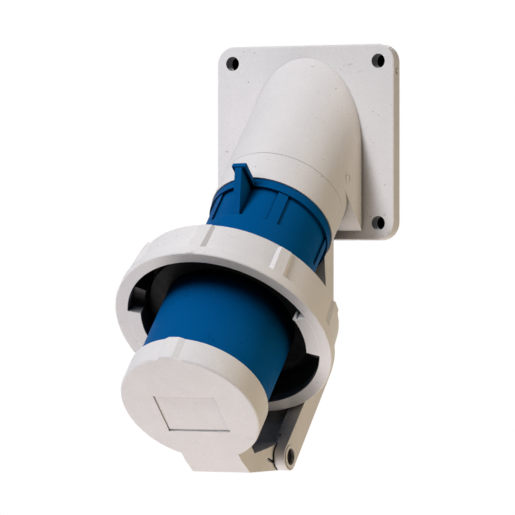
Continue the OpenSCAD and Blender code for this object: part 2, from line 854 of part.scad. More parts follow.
module carrier_cover() {
  color(dark_insert) on_axis() difference() {
    carrier_disc(carrier_seat, carrier_at);
    at_each_pin() {
      barrel_hole(barrel_d);
      barrel_hole(earth_barrel_d);
      barrel_hole(pilot_barrel_d);
    }
  }
}

// A turned pin: nose, shank, collar and terminal barrel with its wire hole
module contact_pin(d, barrel, tip, screws, outward) {
  nose = d * nose_share;
  barrel_from = carrier_seat - barrel_len;
  wire_r = barrel / 2 - barrel_wall;
  difference() {
    rotate_extrude() polygon([[0, barrel_from], [barrel / 2, barrel_from],
      [barrel / 2, carrier_at], [barrel / 2 + collar_step, carrier_at],
      [barrel / 2 + collar_step, carrier_at + collar_t], [d / 2, carrier_at + collar_t],
      [d / 2, tip - nose], [d / 2 - nose, tip], [0, tip]]);
    translate([0, 0, barrel_from - bite]) cylinder(r = wire_r, h = barrel_len - barrel_floor + bite);
    for (i = [1 : screws]) terminal_screw_place(i, outward)
      cylinder(d = terminal_screw_d + 2 * seat_gap, h = barrel);
  }
}

module terminal_screw_place(i, outward) {
  translate([0, 0, carrier_seat - barrel_len + terminal_first + (i - 1) * terminal_pitch])
    rotate([0, 90, outward]) children();
}

module line_pin() {
  color(brass) on_axis() translate(line_at) contact_pin(pin_d, barrel_d, pin_tip, 2, line_angle);
}

module neutral_pin() {
  color(brass) on_axis() translate(neutral_at)
    contact_pin(pin_d, barrel_d, pin_tip, 2, neutral_angle);
}

module earth_pin() {
  color(brass) on_axis() translate(earth_at)
    contact_pin(earth_d, earth_barrel_d, pin_tip, 2, earth_angle);
}

module pilot_pin() {
  color(brass) on_axis()
    contact_pin(pilot_d, pilot_barrel_d, pin_tip - pilot_setback, 1, pilot_angle);
}

// A slotted grub screw that stands a little out of its barrel
module grub_screw(barrel) {
  translate([0, 0, barrel / 2 - grub_sunk]) difference() {
    cylinder(d = terminal_screw_d, h = grub_len);
    translate([-terminal_screw_d, -slot_w / 2, grub_len - slot_depth])
      cube([2 * terminal_screw_d, slot_w, slot_depth + bite]);
  }
}

module terminal_screws() {
  color(steel) on_axis() for (i = [1, 2]) {
    translate(line_at) terminal_screw_place(i, line_angle) grub_screw(barrel_d);
    translate(neutral_at) terminal_screw_place(i, neutral_angle) grub_screw(barrel_d);
    translate(earth_at) terminal_screw_place(i, earth_angle) grub_screw(earth_barrel_d);
    if (i == 1) terminal_screw_place(i, pilot_angle) grub_screw(pilot_barrel_d);
  }
}

module carrier_screws() {
  color(steel) on_axis() for (x = [-1, 1]) translate([x * carrier_screw_x, 0, 0]) difference() {
    union() {
      translate([0, 0, carrier_seat - carrier_screw_len])
        cylinder(d = carrier_screw_d, h = carrier_front - carrier_seat + carrier_screw_len - seat_gap);
      translate([0, 0, carrier_front - screw_head_t + seat_gap / 2])
        cylinder(r = screw_head_r, h = screw_head_t - seat_gap);
    }
    translate([-screw_head_r, -slot_w / 2, carrier_front - slot_depth])
      cube([2 * screw_head_r, slot_w, slot_depth]);
  }
}

// Lid with its tongue and knuckle

module lid_section(r) {
  difference() {
    translate([0, lid_back]) square([r, lid_len]);
    translate([r - lid_edge_r, lid_front_at - lid_edge_r]) difference() {
      square(2 * lid_edge_r);
      circle(lid_edge_r);
    }
  }
}

// The raised pad on the lid's top, with sloping sides and the lid's own round front edge
module lid_pad() {
  top = lid_r + pad_h;
  function half_w(height) = pad_w / 2 + (top - height) / tan(pad_slope);
  low = lid_r - 2 * pad_h;
  high = top + pad_h / 2;
  intersection() {
    rotate_extrude() lid_section(top);
    linear_extrude(lid_front_at + bite) polygon([[-half_w(low), low], [-half_w(high), high],
      [half_w(high), high], [half_w(low), low]]);
  }
}

// The lid's tongue: its front is level with the lid, its underside lies level
module tongue_outline() {
  low = [hinge_at + knuckle_r * sin(tilt), -hinge_drop - knuckle_r * cos(tilt)];
  drop = (lid_front_at - low[0]) / tan(tilt);
  step_at = lid_back + tongue_step;
  blend_up = sqrt(pow(knuckle_r, 2) - pow(knuckle_blend, 2));
  polygon([[lid_front_at, -lid_r + tongue_root], [lid_front_at, -lid_r],
    [lid_front_at - tongue_lean, low[1] + drop - tongue_lean], low,
    [hinge_at, -hinge_drop], [hinge_at - knuckle_blend, -hinge_drop + blend_up],
    [step_at, -lid_r - tongue_back_drop], [step_at, -lid_r + tongue_root]]);
}

module tongue_plan() {
  neck_at = (lid_back + hinge_at) / 2;
  polygon([[-tongue_front_w / 2, lid_front_at + bite], [tongue_front_w / 2, lid_front_at + bite],
    [knuckle_half, neck_at], [knuckle_half, hinge_at - far], [-knuckle_half, hinge_at - far],
    [-knuckle_half, neck_at]]);
}

module tongue() {
  intersection() {
    side_view(-knuckle_half, knuckle_half) tongue_outline();
    rotate([90, 0, 0]) linear_extrude(far) tongue_plan();
  }
  across(-knuckle_half, knuckle_half, knuckle_d);
}

// Room for the spring at the knuckle's end, its free leg behind and its other leg in a slot
module spring_room() {
  across(pocket_from, far, 2 * pocket_r);
  translate([pocket_from, -hinge_drop - 2 * knuckle_r, hinge_at - far])
    cube([far, 2 * knuckle_r + coil_r, far]);
  side_view(slot_x - spring_wire_d, far) leg_slot();
}

module leg_slot() {
  leg_start = [hinge_at + coil_r * cos(slot_angle), -hinge_drop + coil_r * sin(slot_angle)];
  along = (leg_end - leg_start) / norm(leg_end - leg_start);
  side = [-along[1], along[0]] * (spring_wire_d / 2 + leg_gap);
  tip = leg_end + along;
  polygon([leg_start + side, tip + side, tip - side, leg_start - side]);
}

module lid() {
  color(grey) on_axis() difference() {
    union() {
      rotate_extrude() lid_section(lid_r);
      lid_pad();
      tongue();
    }
    translate([0, 0, lid_back - far]) cylinder(r = skirt_bore_r, h = lid_land - lid_back + far);
    translate([0, 0, lid_land - bite]) cylinder(r = lid_pocket_r, h = lid_floor - lid_land + bite);
    translate([-label_w / 2, -label_drop - label_h / 2, lid_front_at - label_depth])
      cube([label_w, label_h, label_depth + bite]);
    translate([-key_w / 2 - key_gap, -shroud_r - key_h - key_gap, lid_back - bite])
      cube([key_w + 2 * key_gap, shroud_r, mouth_at - lid_back + bite]);
    across(-far / 2, far / 2, hinge_pin_d + 2 * pin_fit);
    spring_room();
  }
}

module lid_seal() {
  color(rubber) on_axis()
    tube(skirt_bore_r - seat_gap, lid_pocket_r, lid_land - lid_seal_t, lid_land);
}

// Hinge pin, its clip and the spring

module hinge_pin() {
  color(steel) on_axis() {
    across(-pin_end, plate_out - head_seat + head_t, hinge_pin_d);
    across(plate_out - head_seat, plate_out - head_seat + head_t, hinge_head_d);
  }
}

module hinge_clip() {
  color(steel) on_axis() difference() {
    across(-plate_out + head_seat - clip_t, -plate_out + head_seat, hinge_head_d);
    across(-plate_out, 0, hinge_pin_d + 2 * seat_gap);
  }
}

// A wire swept along a path that keeps square to the hinge's line
module wire(path, r) {
  sides = 8;
  last = len(path) - 1;
  function heading(i) = path[min(i + 1, last)] - path[max(i - 1, 0)];
  function across_at(i) = cross([1, 0, 0], heading(i)) / norm(cross([1, 0, 0], heading(i)));
  points = [for (i = [0 : last], k = [0 : sides - 1])
    path[i] + r * cos(k * 360 / sides) * [1, 0, 0] + r * sin(k * 360 / sides) * across_at(i)];
  walls = [for (i = [0 : last - 1], k = [0 : sides - 1]) [i * sides + k,
    i * sides + (k + 1) % sides, (i + 1) * sides + (k + 1) % sides, (i + 1) * sides + k]];
  ends = [[for (k = [sides - 1 : -1 : 0]) k], [for (k = [0 : sides - 1]) last * sides + k]];
  polyhedron(points, concat(walls, ends));
}

function at_hinge(x, p) = [x, p[1], p[0]];

module lid_spring() {
  coil_from = -90 - rest_dip;
  coil_sweep = slot_angle - coil_from + 360 * spring_turns;
  steps = 18 * spring_turns;
  rest_leg = rest_at + rest_leg_len * [-cos(rest_dip), sin(rest_dip)];
  coil = [for (i = [0 : steps]) let (a = coil_from + coil_sweep * i / steps)
    at_hinge(coil_x + (slot_x - coil_x) * i / steps,
      [hinge_at + coil_r * cos(a), -hinge_drop + coil_r * sin(a)])];
  color(steel) on_axis() wire(concat([at_hinge(coil_x, rest_leg)], coil,
    [at_hinge(slot_x, leg_end)]), spring_wire_d / 2);
}

flange_hood();
flange_gasket();
lid_bracket();
neck_seal();
rim_seal();
lock_nut();
inlet_body();
bayonet_ring();
ring_retainer();
coupling_seal();
contact_carrier();
carrier_cover();
line_pin();
neutral_pin();
earth_pin();
pilot_pin();
terminal_screws();
carrier_screws();
lid();
lid_seal();
hinge_pin();
hinge_clip();
lid_spring();
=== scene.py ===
"""Looks for an angled panel inlet: plastics, rubber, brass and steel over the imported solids."""

import math

import bmesh
import bpy
from bpy.props import FloatProperty, FloatVectorProperty, PointerProperty
from mathutils import Matrix, Vector


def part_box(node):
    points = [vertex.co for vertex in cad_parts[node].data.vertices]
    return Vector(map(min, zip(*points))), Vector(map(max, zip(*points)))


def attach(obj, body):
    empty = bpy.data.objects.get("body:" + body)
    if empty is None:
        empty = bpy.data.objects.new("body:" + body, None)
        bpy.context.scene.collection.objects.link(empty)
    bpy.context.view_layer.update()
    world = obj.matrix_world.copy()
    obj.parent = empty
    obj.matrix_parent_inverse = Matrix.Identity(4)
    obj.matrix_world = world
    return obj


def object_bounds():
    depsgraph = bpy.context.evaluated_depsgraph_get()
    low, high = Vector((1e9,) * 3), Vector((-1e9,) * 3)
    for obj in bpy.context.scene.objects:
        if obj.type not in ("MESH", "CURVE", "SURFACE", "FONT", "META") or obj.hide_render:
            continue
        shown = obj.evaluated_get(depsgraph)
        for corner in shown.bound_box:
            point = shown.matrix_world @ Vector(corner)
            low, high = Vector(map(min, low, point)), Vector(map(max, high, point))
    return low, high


bl_info = {
    "name": "Angled Inlet Looks",
    "version": (1, 0, 0),
    "blender": (4, 5, 0),
    "location": "3D View > Sidebar > Inlet",
    "description": "Finishes, small moulded details and a studio stage for an angled panel inlet",
    "category": "Object",
}

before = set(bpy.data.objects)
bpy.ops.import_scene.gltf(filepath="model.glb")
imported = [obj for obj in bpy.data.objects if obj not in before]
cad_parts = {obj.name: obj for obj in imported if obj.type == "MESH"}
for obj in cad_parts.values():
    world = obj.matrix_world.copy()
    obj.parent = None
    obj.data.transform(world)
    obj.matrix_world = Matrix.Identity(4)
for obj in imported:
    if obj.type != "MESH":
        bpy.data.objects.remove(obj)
CAD_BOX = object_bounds()
MM = 0.001
QUARTER_TURN = math.radians(90)

# The plug's axis, which slopes down and away from the flange, and two directions across it
AXIS_AT = Vector((0, -7.5 * MM, -2 * MM))
AXIS = Vector((0, -math.sqrt(0.5), -math.sqrt(0.5)))
SIDE = Vector((1, 0, 0))
RISE = Vector((0, -math.sqrt(0.5), math.sqrt(0.5)))

# The flange's fixing holes, and the band outside their walls where the painted shade ends
HOLE_SPACING = 88 * MM
HOLE_R = 3.9 * MM
HOLE_FADE = (0.02 * MM, 0.1 * MM)

# The ring's cavity: where along the axis its painted shade is full and where it ends, its radius
# and the band outside
RING_DEEP = 136 * MM
RING_LIT = 138.5 * MM
RING_CAVITY_R = 53.2 * MM
RING_FADE = (0.1 * MM, 0.4 * MM)

# The fronts of the ring's two lugs: their reach across the axis, round it and along it
LUG_IN_R = 45.95 * MM
LUG_OUT_R = 53.25 * MM
LUG_FROM = math.radians(-18.1)
LUG_TO = math.radians(13.1)
LUG_BACK = 137 * MM
LUG_FRONT_IN = 142.0 * MM
LUG_FRONT_OUT = 142.2 * MM
LUG_STEPS = 16
# The round nose at the end of a lug
NOSE_R = 1.25 * MM
NOSE_AT_R = 46.6 * MM
NOSE_SIDES = 20

# Marks that moulding left: a round gate mark on the hood's side and a nub on the flange's edge
GATE_AT = (34.2 * MM, -25.2 * MM, -19.8 * MM)
GATE_R = 2.4 * MM
GATE_WIRE = 0.4 * MM
GATE_SIDES = 10
GATE_STEPS = 40
NUB_AT = (53.3 * MM, -3.5 * MM, 38.5 * MM)
NUB_R = 1.7 * MM
NUB_RISE = 0.8 * MM
NUB_TAPER = 0.8
NUB_SIDES = 32
# Edges sharper than this stay sharp on the small pieces
SHARP_ANGLE = math.radians(35)


class InletFinishes(bpy.types.PropertyGroup):
    """Colours and surface values of the inlet's materials"""

    grey: FloatVectorProperty(
        name="Grey Plastic", description="Colour of the light grey mouldings",
        subtype="COLOR", size=3, min=0, max=1, default=(0.72, 0.685, 0.69))
    blue: FloatVectorProperty(
        name="Blue Plastic", description="Colour of the body and its pin shroud",
        subtype="COLOR", size=3, min=0, max=1, default=(0.0, 0.08, 0.25))
    rubber: FloatVectorProperty(
        name="Rubber", description="Colour of the seals",
        subtype="COLOR", size=3, min=0, max=1, default=(0.012, 0.012, 0.012))
    insert: FloatVectorProperty(
        name="Insert Plastic", description="Colour of the insulating insert",
        subtype="COLOR", size=3, min=0, max=1, default=(0.022, 0.024, 0.027))
    brass: FloatVectorProperty(
        name="Brass", description="Colour of the contact pins",
        subtype="COLOR", size=3, min=0, max=1, default=(0.72, 0.52, 0.22))
    steel: FloatVectorProperty(
        name="Steel", description="Colour of the screws and the spring",
        subtype="COLOR", size=3, min=0, max=1, default=(0.58, 0.58, 0.57))
    dark_steel: FloatVectorProperty(
        name="Dark Steel", description="Colour of the blackened hinge pin and its clip",
        subtype="COLOR", size=3, min=0, max=1, default=(0.035, 0.034, 0.032))
    edge: FloatProperty(
        name="Edge Rounding", description="Width of the rounding along the mouldings' edges",
        unit="LENGTH", min=0, max=0.002, default=0.3 * MM)


class InletStage(bpy.types.PropertyGroup):
    """Camera, floor and lamps"""

    azimuth: FloatProperty(
        name="Azimuth", description="Turn of the camera to the right of the inlet's front",
        subtype="ANGLE", default=math.radians(25.918))
    camera_at: FloatVectorProperty(
        name="Camera Place", description="Where the camera stands",
        subtype="TRANSLATION", size=3, default=(1.0330, -2.1923, -0.0626))
    lens: FloatProperty(
        name="Lens", description="Focal length in millimetres on a 36 mm sensor",
        min=1, default=309.18)
    floor_at: FloatProperty(
        name="Floor Height", description="Height of the floor under the inlet",
        unit="LENGTH", default=-1.2)
    floor_r: FloatProperty(
        name="Floor Radius", description="Radius of the round floor",
        unit="LENGTH", min=0.1, default=1.6)
    key_power: FloatProperty(
        name="Key Lamp", description="Power of the lamp at the upper left that casts the shadows",
        unit="POWER", min=0, default=17.0)
    fill_power: FloatProperty(
        name="Fill Lamp", description="Power of the softer lamp below the key lamp",
        unit="POWER", min=0, default=6.2)
    day_colour: FloatVectorProperty(
        name="Daylight", description="Colour of the key, fill and back lamps",
        subtype="COLOR", size=3, min=0, max=1, default=(0.94, 0.97, 1.0))
    sky_power: FloatProperty(
        name="Sky Lamp", description="Power of the warm lamp at the upper right",
        unit="POWER", min=0, default=4.2)
    sky_colour: FloatVectorProperty(
        name="Sky Colour", description="Colour of the lamp at the upper right",
        subtype="COLOR", size=3, min=0, max=1, default=(1.0, 0.92, 0.8))
    side_power: FloatProperty(
        name="Side Lamp", description="Power of the warm lamp at the lower right",
        unit="POWER", min=0, default=0.92)
    side_colour: FloatVectorProperty(
        name="Side Colour", description="Colour of the lamp at the lower right",
        subtype="COLOR", size=3, min=0, max=1, default=(1.0, 0.82, 0.52))
    low_power: FloatProperty(
        name="Low Lamp",
        description="Power of the lamp that lifts the undersides, as a white table does",
        unit="POWER", min=0, default=5.6)
    table_power: FloatProperty(
        name="Table Lamp", description="Power of the light from the table's front edge",
        unit="POWER", min=0, default=2.9)
    low_colour: FloatVectorProperty(
        name="Low Colour", description="Colour of the light from the table",
        subtype="COLOR", size=3, min=0, max=1, default=(1.0, 0.945, 0.92))
    back_power: FloatProperty(
        name="Back Lamp", description="Power of the lamp behind, which the front never sees",
        unit="POWER", min=0, default=10.0)
    ambient: FloatProperty(
        name="Ambient", description="Strength of the light from all round", min=0, default=0.0)


def finishes():
    return bpy.context.scene.inlet_finishes


def stage_settings():
    return bpy.context.scene.inlet_stage


# Node helpers

# The part of a noise pattern's range that most of its values lie in
NOISE_MIDDLE = (0.3, 0.7)


def new_node(tree, kind, values=(), links=(), **settings):
    """Adds one shader node, sets its fields and inputs, and links sockets into it."""
    made = tree.nodes.new(kind)
    for field, value in settings.items():
        setattr(made, field, value)
    for socket, value in dict(values).items():
        made.inputs[socket].default_value = value
    for socket, source in dict(links).items():
        tree.links.new(source, made.inputs[socket])
    return made


def blank_material(name):
    material = bpy.data.materials.new(name)
    material.use_nodes = True
    tree = material.node_tree
    tree.nodes.clear()
    return material, tree


def shade(colour, factor):
    """The colour scaled by a factor, as a socket value."""
    return (*(min(c * factor, 1.0) for c in colour), 1.0)


def object_place(tree):
    return new_node(tree, "ShaderNodeTexCoord").outputs["Object"]


def noise(tree, size, detail=3.0, roughness=0.5, stretch=(1, 1, 1)):
    """A noise pattern whose features are about the given size across, in metres."""
    scaled = new_node(tree, "ShaderNodeMapping", {"Scale": stretch}, {"Vector": object_place(tree)})
    return new_node(
        tree, "ShaderNodeTexNoise",
        {"Scale": 1 / size, "Detail": detail, "Roughness": roughness},
        {"Vector": scaled.outputs["Vector"]}).outputs["Fac"]


def ranged(tree, pattern, low=0.0, high=1.0):
    """Maps the middle of a noise pattern to a range."""
    return new_node(
        tree, "ShaderNodeMapRange",
        {"From Min": NOISE_MIDDLE[0], "From Max": NOISE_MIDDLE[1], "To Min": low, "To Max": high},
        {"Value": pattern}).outputs["Result"]


def rising(tree, source, low, high, shape="LINEAR"):
    """0 up to the low value, 1 from the high one on."""
    return new_node(
        tree, "ShaderNodeMapRange",
        {"From Min": low, "From Max": high, "To Min": 0.0, "To Max": 1.0},
        {"Value": source}, clamp=True, interpolation_type=shape).outputs["Result"]


def greater(tree, first, second):
    """The greater of two sockets."""
    return new_node(
        tree, "ShaderNodeMath", (), {0: first, 1: second}, operation="MAXIMUM").outputs[0]


def vector_step(tree, operation, vector, value=(0, 0, 0), output="Vector"):
    """One vector calculation on a socket and a plain value."""
    return new_node(
        tree, "ShaderNodeVectorMath", {1: value}, {0: vector}, operation=operation).outputs[output]


def set_mix(tree, factor, first, second):
    """Mixes two colours, each a socket or a plain value."""
    mix = new_node(tree, "ShaderNodeMix", data_type="RGBA")
    colour_inputs = [s for s in mix.inputs if s.type == "RGBA"]
    factor_input = next(s for s in mix.inputs if s.type == "VALUE" and s.name == "Factor")
    for socket, value in ((factor_input, factor), (colour_inputs[0], first),
                          (colour_inputs[1], second)):
        if isinstance(value, bpy.types.NodeSocket):
            tree.links.new(value, socket)
        else:
            socket.default_value = value
    return next(s for s in mix.outputs if s.type == "RGBA")


def toned(tree, pattern, colour, tones):
    """A colour that a noise pattern varies between two shares of itself."""
    low, high = (shade(colour, tone) for tone in tones)
    return set_mix(tree, ranged(tree, pattern), low, high)


def uneven(tree, pattern, roughness, shares):
    """A roughness that a noise pattern varies between two shares of itself."""
    return ranged(tree, pattern, *(roughness * share for share in shares))


def fine_bump(tree, strength, depth, pattern, normal=None):
    """Tiny unevenness of a surface, over its own normal or a given one."""
    links = {"Height": pattern}
    if normal:
        links["Normal"] = normal
    return new_node(
        tree, "ShaderNodeBump", {"Strength": strength, "Distance": depth}, links).outputs["Normal"]


def mix_shaders(tree, factor, first, second):
    """Blends from the first shader to the second by a socket."""
    return new_node(
        tree, "ShaderNodeMixShader", (), {0: factor, 1: first.outputs[0], 2: second.outputs[0]})


def finish_material(tree, shader):
    output = new_node(tree, "ShaderNodeOutputMaterial")
    tree.links.new(shader.outputs[0], output.inputs["Surface"])


def finish_surface(tree, values, tone, rough, normal):
    """Ends a material with one surface shader."""
    finish_material(tree, new_node(
        tree, "ShaderNodeBsdfPrincipled", values,
        {"Base Color": tone, "Roughness": rough, "Normal": normal}))


# Materials

# How far round a place the painted shade of deep hollows and narrow creases and the painted
# highlight along outer edges look
HOLLOW_SHADE_REACH = 30 * MM
CREASE_SHADE_REACH = 1.8 * MM
EDGE_HIGHLIGHT_REACH = 0.7 * MM
# Shares of free rays between which the painted crease shade and the painted edge highlight fade
CREASE_SHADE_OPEN = (0.45, 0.97)
EDGE_HIGHLIGHT_OPEN = (0.45, 0.9)
# Rays that each painted shade or painted highlight and the edges' rounding send out
SHADE_RAYS = 8
ROUNDING_RAYS = 6
# Tones as shares of a material's own colour
FLOW_TONES = (0.965, 1.03)
MOTTLE_TONES = (0.8, 1.15)
# Painted highlight along outer edges
PAINTED_EDGE_HIGHLIGHT = 1.25
# Painted shade on the fixing holes' walls and deep in the ring's cavity
PAINTED_DEEP_SHADE = 0.03
TARNISH_TONES = (0.86, 1.08)
BLOOM_TONES = (0.8, 1.7)
# How much of the fine mottle shows
MOTTLE_SHARE = 0.25
# Noise patterns: size, and detail, roughness and stretch where they differ from plain noise
FLOW_NOISE = (18 * MM, 4, 0.55, (1, 1, 0.5))
MOTTLE_NOISE = (0.7 * MM, 2)
PLASTIC_SHINE = (7 * MM, 5, 0.6)
TARNISH_NOISE = (4 * MM, 5, 0.6)
METAL_SHINE = (2 * MM, 4, 0.6)
TURNING_NOISE = (0.25 * MM, 2, 0.5, (0.2, 1, 1))
BLOOM_NOISE = (5 * MM, 5, 0.65)
RUBBER_SHINE = (3 * MM, 4)
RUBBER_GRAIN = 0.4 * MM
# Marks on plastics: size, stretch, the noise value from which a mark shows, and depth of tone
SPECKS = (1.6 * MM, (1, 1, 1), 0.73, 0.55)
SCUFFS = (2.2 * MM, (0.2, 1, 0.5), 0.725, 0.3)
MARK_DETAIL = 2
MARK_EDGE = 0.03
# Roughness: shares of the plastics' and the metals' own, and the rubber's range
PLASTIC_UNEVEN = (0.9, 1.12)
METAL_UNEVEN = (0.75, 1.3)
RUBBER_ROUGH = (0.62, 0.8)
RUBBER_GLOSS = 0.05
# Depth of the plastics' fine skin, and strength and depth of the other two
PLASTIC_SKIN = 0.05 * MM
RUBBER_SKIN = (0.2, 0.04 * MM)
TURNING_MARKS = (0.15, 0.02 * MM)


def open_share(tree, reach, low, high, inside=False):
    """How open a place is, 0 at the low share of free rays and 1 at the high one; it masks painted
    shade and painted highlights.

    With inside, the rays go into the solid itself, so that its outer edges come out low.
    """
    free = new_node(
        tree, "ShaderNodeAmbientOcclusion", {"Distance": reach}, samples=SHADE_RAYS, inside=inside,
        only_local=inside)
    return rising(tree, free.outputs["AO"], low, high, "SMOOTHSTEP")


def sparse_marks(tree, size, stretch, share):
    """Small marks that cover a small part of a surface, 1 where there is a mark."""
    pattern = noise(tree, size, MARK_DETAIL, stretch=stretch)
    return rising(tree, pattern, share, share + MARK_EDGE)


def hole_wall_shade(tree):
    """Mask for painted shade on the walls of the flange's fixing holes: 0 on the walls and 1
    outside them.
    """
    place = vector_step(tree, "ABSOLUTE", object_place(tree))
    place = vector_step(tree, "MULTIPLY", place, (1, 0, 1))
    place = vector_step(tree, "SUBTRACT", place, (HOLE_SPACING / 2, 0, HOLE_SPACING / 2))
    away = vector_step(tree, "LENGTH", place, output="Value")
    return rising(tree, away, *(HOLE_R + fade for fade in HOLE_FADE))


def ring_cavity_shade(tree):
    """Mask for painted shade deep inside the ring's cavity: 0 there and 1 on its front, its lugs'
    tips and its outside.
    """
    place = vector_step(tree, "SUBTRACT", object_place(tree), AXIS_AT)
    along = vector_step(tree, "DOT_PRODUCT", place, AXIS, "Value")
    across = vector_step(tree, "CROSS_PRODUCT", place, AXIS)
    across = vector_step(tree, "LENGTH", across, output="Value")
    in_front = rising(tree, along, RING_DEEP, RING_LIT)
    outside = rising(tree, across, *(RING_CAVITY_R + fade for fade in RING_FADE))
    return greater(tree, in_front, outside)


def moulded_plastic(name, colour, roughness=0.5, grain=0.16, grain_size=0.5 * MM, gloss=0.12,
                    hollow_shade_tone=0.04, hollow=(0.2, 0.55), crease_shade=0.32, marks=1.0, painted_shade_places=None):
    """A moulded thermoplastic: flow tones, a fine skin, specks and scuffs, with painted highlights
    along outer edges and painted shade in creases and deep hollows.
    """
    material, tree = blank_material(name)
    flow = toned(tree, noise(tree, *FLOW_NOISE), colour, FLOW_TONES)
    mottle = toned(tree, noise(tree, *MOTTLE_NOISE), colour, MOTTLE_TONES)
    tone = set_mix(tree, MOTTLE_SHARE, flow, mottle)
    for size, stretch, share, depth in (SPECKS, SCUFFS):
        mark = sparse_marks(tree, size, stretch, share)
        tone = set_mix(tree, mark, tone, shade(colour, 1 - depth * marks))
    # Painted highlight along the outer edges
    edges = open_share(tree, EDGE_HIGHLIGHT_REACH, *EDGE_HIGHLIGHT_OPEN, inside=True)
    tone = set_mix(tree, edges, shade(colour, PAINTED_EDGE_HIGHLIGHT), tone)
    # Painted shade in narrow creases
    creases = open_share(tree, CREASE_SHADE_REACH, *CREASE_SHADE_OPEN)
    tone = set_mix(tree, creases, shade(colour, crease_shade), tone)
    # Painted shade in deep hollows, darkest where they are deepest
    hollows = open_share(tree, HOLLOW_SHADE_REACH, *hollow)
    tone = set_mix(tree, hollows, shade(colour, hollow_shade_tone), tone)
    # Painted shade on the places a moulding names: its fixing holes' walls or its ring's deep
    # cavity
    if painted_shade_places:
        tone = set_mix(tree, painted_shade_places(tree), shade(colour, PAINTED_DEEP_SHADE), tone)
    rough = uneven(tree, noise(tree, *PLASTIC_SHINE), roughness, PLASTIC_UNEVEN)
    rounded = new_node(
        tree, "ShaderNodeBevel", {"Radius": finishes().edge}, samples=ROUNDING_RAYS)
    skin = fine_bump(
        tree, grain, PLASTIC_SKIN, noise(tree, grain_size), rounded.outputs["Normal"])
    finish_surface(tree, {"Specular IOR Level": gloss}, tone, rough, skin)
    return material


def turned_metal(name, colour, roughness):
    """A machined metal with fine turning marks and a slightly uneven shine."""
    material, tree = blank_material(name)
    tone = toned(tree, noise(tree, *TARNISH_NOISE), colour, TARNISH_TONES)
    rough = uneven(tree, noise(tree, *METAL_SHINE), roughness, METAL_UNEVEN)
    marks = fine_bump(tree, *TURNING_MARKS, noise(tree, *TURNING_NOISE))
    finish_surface(tree, {"Metallic": 1.0}, tone, rough, marks)
    return material


def seal_rubber(name, colour):
    """A matt black rubber with a dusty bloom."""
    material, tree = blank_material(name)
    tone = toned(tree, noise(tree, *BLOOM_NOISE), colour, BLOOM_TONES)
    rough = ranged(tree, noise(tree, *RUBBER_SHINE), *RUBBER_ROUGH)
    skin = fine_bump(tree, *RUBBER_SKIN, noise(tree, RUBBER_GRAIN))
    finish_surface(tree, {"Specular IOR Level": RUBBER_GLOSS}, tone, rough, skin)
    return material


# Each moulding's colour, and what sets it apart from a plain one
MOULDINGS = {
    "grey_moulding": ("grey", {}),
    # The flange gets painted shade on its fixing holes' walls
    "flange_moulding": ("grey", {"hollow": (0.2, 0.73), "crease_shade": 0.6, "painted_shade_places": hole_wall_shade}),
    # The ring gets painted shade deep in its cavity
    "ring_moulding": ("grey", {"crease_shade": 0.8, "painted_shade_places": ring_cavity_shade}),
    "lid_moulding": ("grey", {"crease_shade": 0.7, "marks": 0.35}),
    "blue_moulding": ("blue", {"grain": 0.14, "grain_size": 0.6 * MM, "gloss": 0.015,
                               "hollow_shade_tone": 0.03, "hollow": (0.34, 0.84), "crease_shade": 0.65}),
    "insert_moulding": ("insert", {"grain": 0.25, "grain_size": 0.4 * MM, "gloss": 0.1,
                                   "hollow_shade_tone": 0.3}),
}
# Each metal's colour and roughness
METALS = {
    "contact_brass": ("brass", 0.28),
    "bright_steel": ("steel", 0.3),
    "dark_steel": ("dark_steel", 0.45),
}


def material_named(name):
    """The inlet's material of that name, made at its first use."""
    if name in bpy.data.materials:
        return bpy.data.materials[name]
    if name in MOULDINGS:
        colour, settings = MOULDINGS[name]
        return moulded_plastic(name, getattr(finishes(), colour), **settings)
    if name in METALS:
        colour, roughness = METALS[name]
        return turned_metal(name, getattr(finishes(), colour), roughness)
    if name == "seal_rubber":
        return seal_rubber(name, finishes().rubber)
    raise KeyError(f"there is no material called {name}")


def dress(material, *nodes):
    """Gives CAD nodes their material."""
    for node in nodes:
        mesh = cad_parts[node].data
        mesh.materials.clear()
        mesh.materials.append(material_named(material))


# Pieces


def moulded_piece(name, mesh_data, place=(0, 0, 0), body="base", material="grey_moulding"):
    """A small grey piece of a moulding's own plastic that moves with its body."""
    mesh = bpy.data.meshes.new(name)
    mesh_data.to_mesh(mesh)
    mesh_data.free()
    mesh.shade_smooth()
    mesh.set_sharp_from_angle(angle=SHARP_ANGLE)
    mesh.materials.append(material_named(material))
    piece = bpy.data.objects.new(name, mesh)
    piece.location = place
    bpy.context.scene.collection.objects.link(piece)
    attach(piece, body)


def plug_point(radius, angle, along):
    """A place by its distance from the plug's axis, its angle round it and its place along it."""
    out = SIDE * math.cos(angle) + RISE * math.sin(angle)
    return AXIS_AT + AXIS * along + out * radius


def skin_rows(mesh_data, rows):
    """A closed solid through rows of places that each go once round it."""
    rows = [[mesh_data.verts.new(place) for place in row] for row in rows]
    count = len(rows[0])
    for first, second in zip(rows, rows[1:]):
        for i in range(count):
            j = (i + 1) % count
            mesh_data.faces.new((first[i], first[j], second[j], second[i]))
    mesh_data.faces.new(rows[0])
    mesh_data.faces.new(rows[-1])


